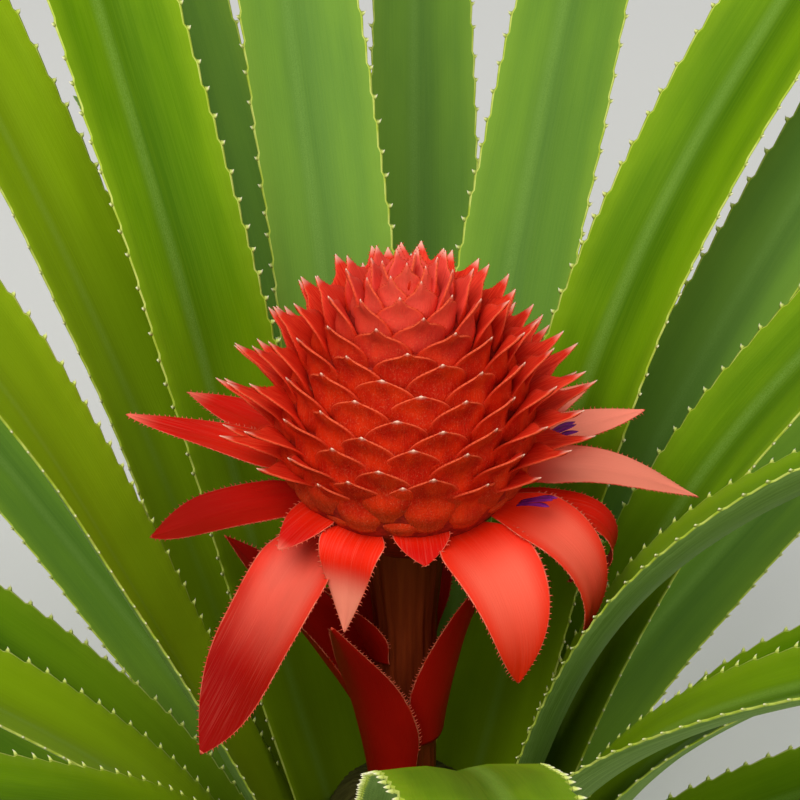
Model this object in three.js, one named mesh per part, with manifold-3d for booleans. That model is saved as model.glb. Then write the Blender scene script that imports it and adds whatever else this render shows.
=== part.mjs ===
// A red pineapple plant in flower: a short stem with a spiral rosette of sword leaves, and a
// flower head of pointed scales on a stalk, with a ruff of long red bracts under it.
// Millimetres, +Z up. The origin is the centre of the flat cut under the stem, at ground level.
import * as THREE from "three";
import { mergeVertices } from "three/addons/utils/BufferGeometryUtils.js";
import Module from "manifold-3d";

const wasm = await Module();
wasm.setup();

// Every piece that touches another keeps this clearance, and a blade that hugs a round
// carrier keeps a little more, because its inner face is made of flats.
const SEAT_GAP = 0.3;
const HUG_GAP = 0.6;
// Each leaf or scale is turned from the one before it by the golden angle, in degrees.
const GOLDEN_ANGLE = 180 * (3 - Math.sqrt(5));

// The stem is club-shaped: a small flare at the ground, widest near its top.
const STEM_HEIGHT = 208;
const STEM_FOOT_RADIUS = 31;
const STEM_FLARE_FALL = 9;
const STEM_NECK_RADIUS = 26;
const STEM_NECK_HEIGHT = 26;
const STEM_CROWN_RADIUS = 30;
const STEM_CROWN_HEIGHT = 172;
const STEM_TOP_RADIUS = 13;
const STEM_SIDES = 28;

// The flower stalk runs from the stem's top into the foot of the head.
const STALK_RADIUS = 10;
const STALK_TOP_RADIUS = 13;
const STALK_CONE_HEIGHT = 30;
const HEAD_FOOT_HEIGHT = 309;
const HEAD_FOOT_RADIUS = 14;

// The head's core, under its scales.
const CORE_WIDEST_RADIUS = 36.5;
const CORE_WIDEST_HEIGHT = 342;
const CORE_APEX_HEIGHT = 395;
const CORE_SIDES = 26;

// Scales of the head, numbered from the apex down: each has this much of the core's surface,
// in square millimetres, and stands with its foot sunk in the core.
const SCALE_COUNT = 131;
const SCALE_FIRST_AREA = 34;
const SCALE_LAST_AREA = 104;
const SCALE_SUNK = 2.5;
const SCALE_DROP = 5;
const SCALE_SHORTEST = 16.5;
const SCALE_LONGEST = 36;
const SCALE_HALF_WIDTH = 9.3;
const SCALE_FRONT_SHORTER = 0.28;
const SCALE_FOOT_THICKNESS = 4.5;
const SCALE_TIP_THICKNESS = 2;

// Bracts, under the head and up its stalk.
const LONG_BRACT_SUNK = 6;
const BRACT_FOOT_THICKNESS = 2.6;
const BRACT_TIP_THICKNESS = 1.6;

// Leaves, numbered from the innermost outwards, each a step lower on the stem than the last.
// A leaf's blade is a channel, of full width up to a share of its length.
const LEAF_COUNT = 34;
const LEAF_TOP_HEIGHT = 186;
const LEAF_STEP = 4.7;
const FIRST_LEAF_AZIMUTH = -10;
const LEAF_FOOT_RISE = 69;
const [LEAF_INNER_RISE, LEAF_OUTER_RISE] = [56, 16];
const [LEAF_INNER_LENGTH, LEAF_OUTER_LENGTH] = [650, 560];
const [LEAF_INNER_WIDTH, LEAF_OUTER_WIDTH] = [44, 41];
const LEAF_THICKNESS_PART = 0.0102;
const LEAF_TAPER_FROM = 0.42;
const FOOT_CHANNEL_RADIUS = 12;
const CHANNEL_RADIUS = 36;

const radians = THREE.MathUtils.degToRad;
const lerp = THREE.MathUtils.lerp;
const smoothstep = THREE.MathUtils.smoothstep;

// A closed geometry as a solid, with its shared corners merged.
function solidOf(geometry) {
  const bare = geometry.clone();
  bare.deleteAttribute("normal");
  bare.deleteAttribute("uv");
  const merged = mergeVertices(bare, 1e-4);
  const corners = merged.index.array;
  const kept = [];
  for (let i = 0; i < corners.length; i += 3) {
    const [a, b, c] = corners.subarray(i, i + 3);
    if (a !== b && b !== c && c !== a) kept.push(a, b, c);
  }
  return new wasm.Manifold(
    new wasm.Mesh({
      numProp: 3,
      vertProperties: merged.attributes.position.array,
      triVerts: new Uint32Array(kept),
    }),
  );
}

// The largest body of a solid, as a geometry.
function geometryOf(solid) {
  const bodies = solid.decompose();
  bodies.sort((a, b) => b.volume() - a.volume());
  const mesh = bodies[0].getMesh();
  const positions = new Float32Array(mesh.numVert * 3);
  for (let i = 0; i < mesh.numVert; i++) {
    positions.set(mesh.vertProperties.subarray(i * mesh.numProp, i * mesh.numProp + 3), i * 3);
  }
  const geometry = new THREE.BufferGeometry();
  geometry.setAttribute("position", new THREE.BufferAttribute(positions, 3));
  geometry.setIndex(new THREE.BufferAttribute(mesh.triVerts, 1));
  geometry.computeVertexNormals();
  return geometry;
}

// A body of revolution about Z, from [radius, height] points that start and end on the axis.
function turned(profile, sides) {
  const points = profile.map(([radius, height]) => new THREE.Vector2(radius, height));
  return new THREE.LatheGeometry(points, sides).rotateX(Math.PI / 2);
}

// A point at an azimuth, a radius and a height.
function seat(azimuth, radius, height) {
  const angle = radians(azimuth);
  return new THREE.Vector3(radius * Math.cos(angle), radius * Math.sin(angle), height);
}

// Full width up to a share of the length, then down to nothing at the tip.
function taper(u, from, power) {
  return 1 - Math.pow(Math.max(0, (u - from) / (1 - from)), power);
}

// The frames along a blade: it leaves its start at an azimuth, and climbs by rise(u) degrees
// while it swings sideways by sway and turns about its own line by roll(u) degrees.
function bladeFrames(blade) {
  const steps = 10;
  const point = blade.start.clone();
  const frames = [];
  let last = blade.stations[0];
  for (const station of blade.stations) {
    for (let k = 0; k < steps; k++) {
      const u = lerp(last, station, (k + 0.5) / steps);
      const stride = ((station - last) / steps) * blade.length;
      point.addScaledVector(bladeDirection(blade, u), stride);
    }
    last = station;
    const along = bladeDirection(blade, station);
    const azimuth = radians(bladeAzimuth(blade, station));
    const side = new THREE.Vector3(-Math.sin(azimuth), Math.cos(azimuth), 0);
    side.applyAxisAngle(along, radians(blade.roll(station)));
    const up = along.clone().cross(side);
    frames.push({ u: station, point: point.clone(), side, up });
  }
  return frames;
}

function bladeAzimuth(blade, u) {
  return blade.azimuth + blade.sway * smoothstep(u, 0, 0.5);
}

function bladeDirection(blade, u) {
  const azimuth = radians(bladeAzimuth(blade, u));
  const rise = radians(blade.rise(u));
  return new THREE.Vector3(
    Math.cos(rise) * Math.cos(azimuth),
    Math.cos(rise) * Math.sin(azimuth),
    Math.sin(rise),
  );
}

// One ring of a blade: a channel of the given curve, thick in the middle and thin at its
// edges. The points run from the left edge over the top to the right edge, and back below.
function bladeRing(blade, frame) {
  const half = blade.halfWidth(frame.u);
  const thick = blade.thickness(frame.u);
  const curve = blade.curve(frame.u);
  const at = (part, face) => {
    const s = part * half;
    const angle = s * curve;
    const lateral = curve ? Math.sin(angle) / curve : s;
    const sag = curve ? (1 - Math.cos(angle)) / curve : 0;
    const deep = (face * thick * (1 - part * part)) / 2;
    return frame.point
      .clone()
      .addScaledVector(frame.side, lateral - deep * Math.sin(angle))
      .addScaledVector(frame.up, sag + deep * Math.cos(angle));
  };
  const parts = blade.parts;
  const top = parts.map((part) => at(part, 1));
  const below = [...parts].reverse().map((part) => at(part, -1));
  return [at(1, 0), ...top, at(-1, 0), ...below];
}

// The closed surface of a blade: its rings, a cap at its base and a point at its tip.
function bladeGeometry(blade) {
  const frames = bladeFrames(blade);
  const tip = frames.pop();
  const rings = frames.map((frame) => bladeRing(blade, frame));
  const count = rings[0].length;
  const positions = [...rings.flat(), tip.point].flatMap((p) => p.toArray());
  const faces = [];
  for (let r = 0; r + 1 < rings.length; r++) {
    for (let i = 0; i < count; i++) {
      const j = (i + 1) % count;
      const [a, b] = [r * count + i, r * count + j];
      faces.push(a, b, a + count, b, b + count, a + count);
    }
  }
  const lastRing = (rings.length - 1) * count;
  const tipCorner = rings.length * count;
  for (let i = 0; i < count; i++) {
    faces.push(lastRing + i, lastRing + ((i + 1) % count), tipCorner);
  }
  // the cap joins the top row of the first ring to the row below it
  for (let low = 0, high = count - 1; high - low > 1; low++, high--) {
    faces.push(low, high, low + 1);
    if (high - low > 2) faces.push(low + 1, high, high - 1);
  }
  const geometry = new THREE.BufferGeometry();
  geometry.setAttribute("position", new THREE.Float32BufferAttribute(positions, 3));
  geometry.setIndex(faces);
  return geometry;
}

// Stem

function stemRadius(height) {
  const flare = (STEM_FOOT_RADIUS - STEM_NECK_RADIUS) * Math.exp(-height / STEM_FLARE_FALL);
  const swell = smoothstep(height, STEM_NECK_HEIGHT, STEM_CROWN_HEIGHT);
  const body = lerp(STEM_NECK_RADIUS, STEM_CROWN_RADIUS, swell) + flare;
  if (height <= STEM_CROWN_HEIGHT) return body;
  const over = (height - STEM_CROWN_HEIGHT) / (STEM_HEIGHT - STEM_CROWN_HEIGHT);
  return lerp(STEM_TOP_RADIUS, STEM_CROWN_RADIUS, Math.sqrt(1 - over * over));
}

function stemProfile() {
  const heights = [0, 8, 20, 60, 110, STEM_CROWN_HEIGHT, 184, 194, 202, STEM_HEIGHT];
  const side = heights.map((height) => [stemRadius(height), height]);
  return [[0, 0], ...side, [0, STEM_HEIGHT]];
}

// Flower stalk

function stalkProfile() {
  const low = STEM_HEIGHT + SEAT_GAP;
  const high = HEAD_FOOT_HEIGHT - SEAT_GAP;
  return [
    [0, low],
    [STALK_RADIUS, low],
    [STALK_RADIUS, high - STALK_CONE_HEIGHT],
    [STALK_TOP_RADIUS, high],
    [0, high],
  ];
}

// Flower head

function coreRadius(height) {
  if (height < CORE_WIDEST_HEIGHT) {
    const t = (height - HEAD_FOOT_HEIGHT) / (CORE_WIDEST_HEIGHT - HEAD_FOOT_HEIGHT);
    return lerp(HEAD_FOOT_RADIUS, CORE_WIDEST_RADIUS, Math.sin((t * Math.PI) / 2));
  }
  const t = (height - CORE_WIDEST_HEIGHT) / (CORE_APEX_HEIGHT - CORE_WIDEST_HEIGHT);
  return CORE_WIDEST_RADIUS * Math.pow(1 - Math.pow(t, 1.8), 0.72);
}

function coreProfile(grow) {
  const rows = 9;
  const points = [[0, HEAD_FOOT_HEIGHT - grow]];
  for (let i = 0; i < rows; i++) {
    const height = lerp(HEAD_FOOT_HEIGHT, CORE_APEX_HEIGHT, i / rows);
    points.push([coreRadius(height) + grow, height - (i ? 0 : grow)]);
  }
  points.push([0, CORE_APEX_HEIGHT + grow]);
  return points;
}

// The height and radius at which each scale stands: they share out the core's surface, with
// small ones at the apex and large ones lower down.
function scalePlaces() {
  const places = [];
  const stride = 0.1;
  let share = 0;
  let height = CORE_APEX_HEIGHT;
  while (places.length < SCALE_COUNT) {
    const radius = coreRadius(height - stride);
    const slant = Math.hypot(coreRadius(height) - radius, stride);
    const grown = smoothstep(places.length, 0, SCALE_COUNT * 0.25);
    share += (2 * Math.PI * radius * slant) / lerp(SCALE_FIRST_AREA, SCALE_LAST_AREA, grown);
    height -= stride;
    if (share >= 1) {
      share -= 1;
      places.push({ height, radius });
    }
  }
  return places;
}

// A scale stands up against the core with its broad foot, then bends out to a claw that
// narrows like an arch to a fine tip. The claws on the front are shorter and more upright.
function scaleBlade(place, order) {
  const down = order / (SCALE_COUNT - 1);
  const azimuth = order * GOLDEN_ANGLE;
  const towardsFront = Math.max(0, -Math.sin(radians(azimuth)));
  const lowest = smoothstep(down, 0.82, 1);
  const footLength = lerp(9, 12.5, smoothstep(down, 0, 0.3)) - 6 * lowest;
  const grown = 0.45 * smoothstep(down, 0, 0.4) + 0.55 * smoothstep(down, 0.35, 0.95);
  const front = towardsFront ** 2 * smoothstep(down, 0.15, 0.4);
  const shorter = 1 - SCALE_FRONT_SHORTER * front;
  const length = (lerp(SCALE_SHORTEST, SCALE_LONGEST, grown) - 6 * lowest) * shorter;
  const broad = footLength / length;
  const drop = SCALE_DROP * (1 - 0.9 * smoothstep(down, 0.86, 1));
  const footRise = lerp(86, 76, down);
  const clawRise =
    lerp(80, 46, smoothstep(down, 0, 0.3)) -
    28 * smoothstep(down, 0.35, 1) +
    front * lerp(12, 46, down);
  const width = SCALE_HALF_WIDTH * lerp(0.52, 1, smoothstep(down, -0.05, 0.28));
  const past = (u) => Math.max(0, (u - 0.75 * broad) / (1 - 0.75 * broad));
  const reach = lerp(0.6, 0.92, front);
  const arch = (u) => 1 - lerp(0.7, 0.86, front) * Math.min(1, past(u) / reach) ** 2.1;
  const tip = (u) => 1 - Math.max(0, (past(u) - reach) / (1 - reach));
  return {
    start: seat(azimuth, place.radius - SCALE_SUNK, place.height - drop),
    azimuth,
    length,
    sway: 0,
    parts: [0],
    stations: [0, 0.5 * broad, 1.1 * broad, (1.1 * broad + 1) / 2, 1],
    rise: (u) =>
      lerp(footRise, clawRise, smoothstep(u, 0.6 * broad, broad + 0.2)) +
      10 * (1 - front) * smoothstep(u, 0.8, 1),
    roll: () => 0,
    halfWidth: (u) => width * lerp(0.7, 1, smoothstep(u, 0, 0.5 * broad)) * arch(u) * tip(u),
    thickness: (u) =>
      lerp(SCALE_FOOT_THICKNESS, SCALE_TIP_THICKNESS, smoothstep(u, 0.5 * broad, 1.1 * broad)),
    curve: (u) => lerp(1 / 16, 1 / 40, Math.exp(-(((u - broad) / (0.5 * broad)) ** 2))),
  };
}

function headSolid() {
  const scales = scalePlaces().map((place, order) =>
    solidOf(bladeGeometry(scaleBlade(place, order))),
  );
  return wasm.Manifold.union([solidOf(turned(coreProfile(0), CORE_SIDES)), ...scales]);
}

// Long red bracts under the head. Each row is hand-set: where it leaves the head's foot, the
// rise it starts and ends with, the shares of its length between which it bends, its length
// and its width. Some also say where their taper starts, and how blunt it is.
const LONG_BRACTS = [
  {
    ...{ azimuth: -114, height: 328.6, rise: [-2, -84], bend: [0.18, 0.48], length: 39.5, width: 21 },
    narrows: [0.25, 1.1],
  },
  {
    ...{ azimuth: -139, height: 320.5, rise: [-6, -52], bend: [0, 0.42], length: 84, width: 29 },
    narrows: [0.55, 2.2],
  },
  { azimuth: -58, height: 325.5, rise: [3, -98], bend: [0.1, 1], length: 62, width: 28 },
  { azimuth: -29, height: 328, rise: [0, -106], bend: [0.1, 1], length: 64, width: 24 },
  { azimuth: -9, height: 323, rise: [-2, -150], bend: [0.35, 0.95], length: 68, width: 17 },
  { azimuth: 6, height: 327, rise: [6, -28], bend: [0, 1], length: 67, width: 21 },
  { azimuth: 21, height: 329.4, rise: [8, 2], bend: [0, 1], length: 52, width: 18 },
  { azimuth: 38, height: 326, rise: [11, 4], bend: [0, 1], length: 50, width: 18 },
  { azimuth: 76, height: 328, rise: [12, -50], bend: [0, 1], length: 62, width: 21 },
  { azimuth: 112, height: 327, rise: [14, -30], bend: [0, 1], length: 52, width: 19 },
  { azimuth: 150, height: 327, rise: [10, 4], bend: [0, 1], length: 53, width: 18 },
  { azimuth: 172, height: 328, rise: [17, 12], bend: [0, 1], length: 60, width: 17 },
  { azimuth: 194, height: 325, rise: [4, -15], bend: [0, 1], length: 54, width: 20, narrows: [0.6, 2.4] },
  { azimuth: 221, height: 331, rise: [-4, -28], bend: [0, 1], length: 22, width: 15 },
  { azimuth: -82, height: 329.9, rise: [2, -26], bend: [0.1, 0.9], length: 16, width: 17 },
];

function longBractBlade(bract) {
  const [first, last] = bract.rise;
  const [bendFrom, bendTo] = bract.bend;
  const [taperFrom, blunt] = bract.narrows ?? [0.35, 1.8];
  const foot = coreRadius(bract.height) - LONG_BRACT_SUNK;
  return {
    start: seat(bract.azimuth, foot, bract.height),
    azimuth: bract.azimuth,
    sway: 0,
    length: bract.length,
    parts: [0.5, 0, -0.5],
    stations: [0, 0.16, 0.34, 0.52, 0.7, 0.87, 1],
    rise: (u) => lerp(first, last, smoothstep(u, bendFrom, bendTo)),
    roll: () => 0,
    halfWidth: (u) =>
      (bract.width / 2) * lerp(0.42, 1, smoothstep(u, 0, 0.3)) * taper(u, taperFrom, blunt),
    thickness: (u) => lerp(BRACT_FOOT_THICKNESS, BRACT_TIP_THICKNESS, u),
    curve: (u) => lerp(1 / 14, 1 / 30, smoothstep(u, 0, 0.3)),
  };
}

// Stalk bracts: upright, dark red, up the flower stalk.
const STALK_BRACTS = [
  { azimuth: 169, height: 236, rise: [64, 46], length: 78, width: 31 },
  { azimuth: -36, height: 234, rise: [83, 68], length: 78, width: 26 },
  { azimuth: 72, height: 262, rise: [64, 30], length: 50, width: 21 },
  { azimuth: 112, height: 252, rise: [66, 34], length: 60, width: 21 },
  { azimuth: 214, height: 266, rise: [74, 50], length: 40, width: 20 },
  { azimuth: -121, height: 216, rise: [81, 60], length: 90, width: 28 },
];

function stalkBractBlade(bract) {
  const [first, last] = bract.rise;
  const lean = Math.sin(radians(first));
  const hug = STALK_RADIUS + HUG_GAP + (BRACT_FOOT_THICKNESS / 2) * lean;
  return {
    start: seat(bract.azimuth, hug, bract.height),
    azimuth: bract.azimuth,
    sway: 0,
    length: bract.length,
    parts: [0.5, 0, -0.5],
    stations: [0, 0.16, 0.34, 0.56, 0.78, 1],
    rise: (u) => lerp(first, last, u),
    roll: () => 0,
    halfWidth: (u) => (bract.width / 2) * lerp(0.7, 1, smoothstep(u, 0, 0.3)) * taper(u, 0.3, 1.8),
    thickness: (u) => lerp(BRACT_FOOT_THICKNESS, BRACT_TIP_THICKNESS, u),
    curve: (u) => lerp(lean / hug, 1 / 15, smoothstep(u, 0, 0.4)),
  };
}

// Leaves. Each leaves the stem at the base rise, and bends to the blade's rise between two
// lengths from its foot; then it arches over. Those that stand out are set by their order.
const SET_LEAVES = {
  0: { azimuth: 343, base: 75, rise: 37, bend: [45, 220], arch: 14, roll: -24 },
  1: { azimuth: 138, sway: -22, base: 72, rise: 54, bend: [100, 300], arch: 12 },
  2: { azimuth: 273, base: 70, rise: 50.8, bend: [20, 100], arch: 36, width: 36, channel: 400 },
  3: { azimuth: 43, base: 74, rise: 46, bend: [90, 290], arch: 12 },
  4: { azimuth: 186, base: 70, rise: 50, bend: [160, 360], arch: 24, roll: -16 },
  6: { azimuth: 103, base: 71, rise: 50, bend: [80, 260], arch: 10 },
  7: { azimuth: 226, base: 66, rise: 45, bend: [20, 140], arch: 56, length: 590 },
  8: { azimuth: 18, base: 71, rise: 43, bend: [70, 280], arch: 14 },
  9: { azimuth: 146, base: 70, rise: 65, bend: [100, 300], arch: 18, width: 42 },
  11: { azimuth: 72, base: 70, rise: 45, bend: [80, 260], arch: 20 },
  12: { azimuth: 194, base: 66, rise: 43, bend: [20, 180], arch: 26 },
  13: { azimuth: 338, base: 70, rise: 36, bend: [60, 240], arch: 24 },
  14: { azimuth: 113, base: 69, rise: 45, bend: [60, 260], arch: 18 },
  16: { azimuth: 38, base: 72, rise: 57, bend: [70, 275], arch: 20 },
  17: { azimuth: 170, base: 67, rise: 41, bend: [20, 180], arch: 22 },
  19: { azimuth: 86, base: 69, rise: 41, bend: [40, 240], arch: 10 },
};

function leafRule(order) {
  const outward = order / (LEAF_COUNT - 1);
  const azimuth = FIRST_LEAF_AZIMUTH + order * GOLDEN_ANGLE;
  const towardsFront = Math.max(0, -Math.sin(radians(azimuth)));
  return {
    azimuth,
    height: LEAF_TOP_HEIGHT - order * LEAF_STEP,
    base: LEAF_FOOT_RISE,
    rise: lerp(LEAF_INNER_RISE, LEAF_OUTER_RISE, outward ** 0.9) - 10 * towardsFront * (1 - outward),
    bend: [20, lerp(220, 120, outward)],
    arch: 34 + 8 * Math.sin(order * 2.4),
    length: lerp(LEAF_INNER_LENGTH, LEAF_OUTER_LENGTH, outward) + 30 * Math.sin(order * 1.7),
    width: lerp(LEAF_INNER_WIDTH, LEAF_OUTER_WIDTH, outward),
    sway: 6 * Math.sin(order * 3.1),
    roll: 0,
    channel: CHANNEL_RADIUS,
    ...SET_LEAVES[order],
  };
}

function leafBlade(leaf) {
  const [bendFrom, bendTo] = leaf.bend;
  const thick = leaf.length * LEAF_THICKNESS_PART;
  const hug = stemRadius(leaf.height) + HUG_GAP + (thick / 2) * Math.sin(radians(leaf.base));
  const narrowing = (u) => taper(u, LEAF_TAPER_FROM, 1.8);
  const channel = (u) => 1 / lerp(1 / CHANNEL_RADIUS, 1 / leaf.channel, smoothstep(u, 0.1, 0.35));
  return {
    start: seat(leaf.azimuth, hug, leaf.height),
    azimuth: leaf.azimuth,
    sway: leaf.sway,
    length: leaf.length,
    parts: [0.5, 0, -0.5],
    stations: [0, 0.06, 0.14, 0.24, 0.37, 0.52, 0.68, 0.84, 1],
    rise: (u) =>
      lerp(leaf.base, leaf.rise, smoothstep(u * leaf.length, bendFrom, bendTo)) -
      leaf.arch * Math.pow(u, 1.7),
    roll: (u) => leaf.roll * smoothstep(u, 0.05, 0.4),
    halfWidth: (u) => (leaf.width / 2) * narrowing(u),
    thickness: () => thick,
    curve: (u) => 1 / Math.max(FOOT_CHANNEL_RADIUS, channel(u) * narrowing(u) + 1),
  };
}

// Colours and finishes

const finish = (color, roughness) =>
  new THREE.MeshStandardMaterial({ color, roughness, metalness: 0 });
const STEM_FINISH = finish(0x8a7a4c, 0.8);
const STALK_FINISH = finish(0x7a3a28, 0.7);
const HEAD_FINISH = finish(0xd2281c, 0.7);
const BRACT_FINISH = finish(0xd81e14, 0.55);
const LEAF_FINISH = finish(0x5f9a2a, 0.45);

const plant = new THREE.Group();

function add(name, geometry, material) {
  const mesh = new THREE.Mesh(geometry, material);
  mesh.name = name;
  plant.add(mesh);
}

const numbered = (stem, i) => stem + "_" + String(i + 1).padStart(2, "0");

const coreClear = solidOf(turned(coreProfile(SEAT_GAP), CORE_SIDES));

add("stem", turned(stemProfile(), STEM_SIDES), STEM_FINISH);
add("flower_stalk", turned(stalkProfile(), STEM_SIDES), STALK_FINISH);
add("flower_head", geometryOf(headSolid()), HEAD_FINISH);

LONG_BRACTS.forEach((bract, i) => {
  const blade = solidOf(bladeGeometry(longBractBlade(bract)));
  add(numbered("long_bract", i), geometryOf(blade.subtract(coreClear)), BRACT_FINISH);
});
STALK_BRACTS.forEach((bract, i) => {
  add(numbered("stalk_bract", i), bladeGeometry(stalkBractBlade(bract)), STALK_FINISH);
});
for (let order = 0; order < LEAF_COUNT; order++) {
  add(numbered("leaf", order), bladeGeometry(leafBlade(leafRule(order))), LEAF_FINISH);
}

export default plant;
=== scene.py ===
"""A red pineapple plant in flower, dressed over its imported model.

The blades follow the same rule as the solids that they replace, in millimetres, and become
metres when a piece's mesh is made. Azimuths and rises are in degrees.
"""
import math
from types import SimpleNamespace

import bpy
import numpy as np
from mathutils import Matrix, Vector

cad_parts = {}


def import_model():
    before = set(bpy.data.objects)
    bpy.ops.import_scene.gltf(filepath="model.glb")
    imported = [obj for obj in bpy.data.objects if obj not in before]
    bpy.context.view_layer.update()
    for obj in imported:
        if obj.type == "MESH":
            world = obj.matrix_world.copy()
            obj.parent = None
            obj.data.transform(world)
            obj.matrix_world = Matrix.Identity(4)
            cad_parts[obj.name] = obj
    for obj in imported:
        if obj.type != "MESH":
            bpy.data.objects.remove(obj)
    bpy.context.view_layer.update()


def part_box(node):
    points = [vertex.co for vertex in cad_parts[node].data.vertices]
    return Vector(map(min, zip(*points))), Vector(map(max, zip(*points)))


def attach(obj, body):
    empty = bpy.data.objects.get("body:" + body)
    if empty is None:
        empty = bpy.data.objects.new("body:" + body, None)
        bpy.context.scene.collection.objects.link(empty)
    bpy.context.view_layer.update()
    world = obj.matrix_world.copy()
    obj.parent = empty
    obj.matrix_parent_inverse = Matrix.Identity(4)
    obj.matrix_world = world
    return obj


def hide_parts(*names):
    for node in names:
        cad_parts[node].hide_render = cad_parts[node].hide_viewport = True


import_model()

MM = 0.001
GOLDEN_ANGLE = 180 * (3 - math.sqrt(5))
SEED = 20

# Clearance between a blade's foot and the round carrier that it hugs
HUG_GAP = 0.6

# Stem
STEM_HEIGHT = 208
STEM_FOOT_RADIUS = 31
STEM_FLARE_FALL = 9
STEM_NECK_RADIUS = 26
STEM_NECK_HEIGHT = 26
STEM_CROWN_RADIUS = 30
STEM_CROWN_HEIGHT = 172
STEM_TOP_RADIUS = 13

# Flower stalk and the core of the flower head
STALK_RADIUS = 10
STALK_TOP_RADIUS = 13
STALK_CONE_HEIGHT = 30
HEAD_FOOT_HEIGHT = 309
HEAD_FOOT_RADIUS = 14
CORE_WIDEST_RADIUS = 36.5
CORE_WIDEST_HEIGHT = 342
CORE_APEX_HEIGHT = 395

# Scales of the head, numbered from the apex down
SCALE_COUNT = 131
SCALE_FIRST_AREA = 34
SCALE_LAST_AREA = 104
SCALE_SUNK = 2.5
SCALE_DROP = 5
SCALE_SHORTEST = 16.5
SCALE_LONGEST = 36
SCALE_HALF_WIDTH = 9.3
SCALE_FRONT_SHORTER = 0.28
SCALE_LOWEST_SHORTER = 6

# From the apex down. Lower claws fall further, and those in front are lifted
SCALE_FOOT_LENGTHS = 9, 12.5
SCALE_FOOT_RISES = 86, 76
SCALE_CLAW_RISES = 80, 46
SCALE_CLAW_FALL = 28
SCALE_FRONT_LIFTS = 12, 46

# Leaves, numbered from the innermost outwards
LEAF_COUNT = 34
LEAF_TOP_HEIGHT = 186
LEAF_STEP = 4.7
FIRST_LEAF_AZIMUTH = -10
LEAF_FOOT_RISE = 69
LEAF_INNER_RISE, LEAF_OUTER_RISE = 56, 16
LEAF_FRONT_LOWER = 10
# How strongly the leaves towards the back are greyed as painted sheen
LEAF_BACK_PAINTED_SHEEN = 0.45
LEAF_INNER_LENGTH, LEAF_OUTER_LENGTH = 650, 560
LEAF_INNER_WIDTH, LEAF_OUTER_WIDTH = 44, 41
LEAF_SOLID_THICKNESS_PART = 0.0102
LEAF_TAPER_FROM = 0.42
FOOT_CHANNEL_RADIUS = 12
CHANNEL_RADIUS = 36

# Finer than the solids: the leaf's own thickness, its margin and its spines
LEAF_THICKNESS = 3.0
SPINE_NEAR_PITCH, SPINE_FAR_PITCH = 6.5, 11.5
SPINE_LENGTH = 1.25
SPINE_FOOT = 1.0
SPINE_HOOK = 0.65
SPINE_JITTER = 0.13
STEPS_A_SPINE = 5

# Spines and teeth: how deep a foot is sunk, its thickness as a share of its width, where on
# its length it bends, and how much of its part of the map the face of its foot takes up
CONE_SUNK = 0.3
CONE_FLATNESS = 0.5
CONE_BEND_FROM = 0.55
CAP_HEIGHT = 0.02


def lerp(a, b, t):
    return a + (b - a) * t


def smoothstep(x, low, high):
    t = np.clip((x - low) / (high - low), 0, 1)
    return t * t * (3 - 2 * t)


def taper(u, start, power):
    """Full width up to a share of the length, then down to nothing at the tip."""
    return 1 - np.maximum(0, (u - start) / (1 - start)) ** power


def bump(x, centre, width):
    return np.exp(-(((x - centre) / width) ** 2))


def seat(azimuth, radius, height):
    angle = math.radians(azimuth)
    return np.array([radius * math.cos(angle), radius * math.sin(angle), height])


def placed(name, data):
    """An object of the scene that shows this data."""
    made = bpy.data.objects.new(name, data)
    bpy.context.scene.collection.objects.link(made)
    return made


# Blades: leaves, bracts, scales and petals


def direction(blade, u):
    azimuth = np.radians(blade.azimuth + blade.sway * smoothstep(u, 0, 0.5))
    rise = np.radians(blade.rise(u))
    flat = np.cos(rise)
    return np.stack([flat * np.cos(azimuth), flat * np.sin(azimuth), np.sin(rise)], -1)


def centre_line(blade, steps=360):
    """The middle line of a blade, with its direction, side and up vectors."""
    u = np.linspace(0, 1, steps + 1)
    strides = direction(blade, (u[1:] + u[:-1]) / 2) * blade.length / steps
    point = blade.start + np.vstack([np.zeros(3), np.cumsum(strides, axis=0)])
    along = direction(blade, u)
    azimuth = np.radians(blade.azimuth + blade.sway * smoothstep(u, 0, 0.5))
    level = np.stack([-np.sin(azimuth), np.cos(azimuth), np.zeros_like(u)], -1)
    roll = np.radians(blade.roll(u))[:, None]
    side = level * np.cos(roll) + np.cross(along, level) * np.sin(roll)
    return SimpleNamespace(u=u, point=point, along=along, side=side, up=np.cross(along, side))


def read(line, u, values):
    return np.stack([np.interp(u, line.u, values[:, k]) for k in range(3)], -1)


def on_blade(blade, line, u, part, lift):
    """Places on a blade: at share u of its length, part of its half width, lift off its middle."""
    s = part * blade.half_width(u) + blade.scallop(u, part)
    curve = blade.curve(u)
    angle = s * curve
    lateral = np.sin(angle) / curve - lift * np.sin(angle)
    height = (1 - np.cos(angle)) / curve + lift * np.cos(angle)
    side, up = read(line, u, line.side), read(line, u, line.up)
    return read(line, u, line.point) + side * lateral[..., None] + up * height[..., None]


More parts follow.
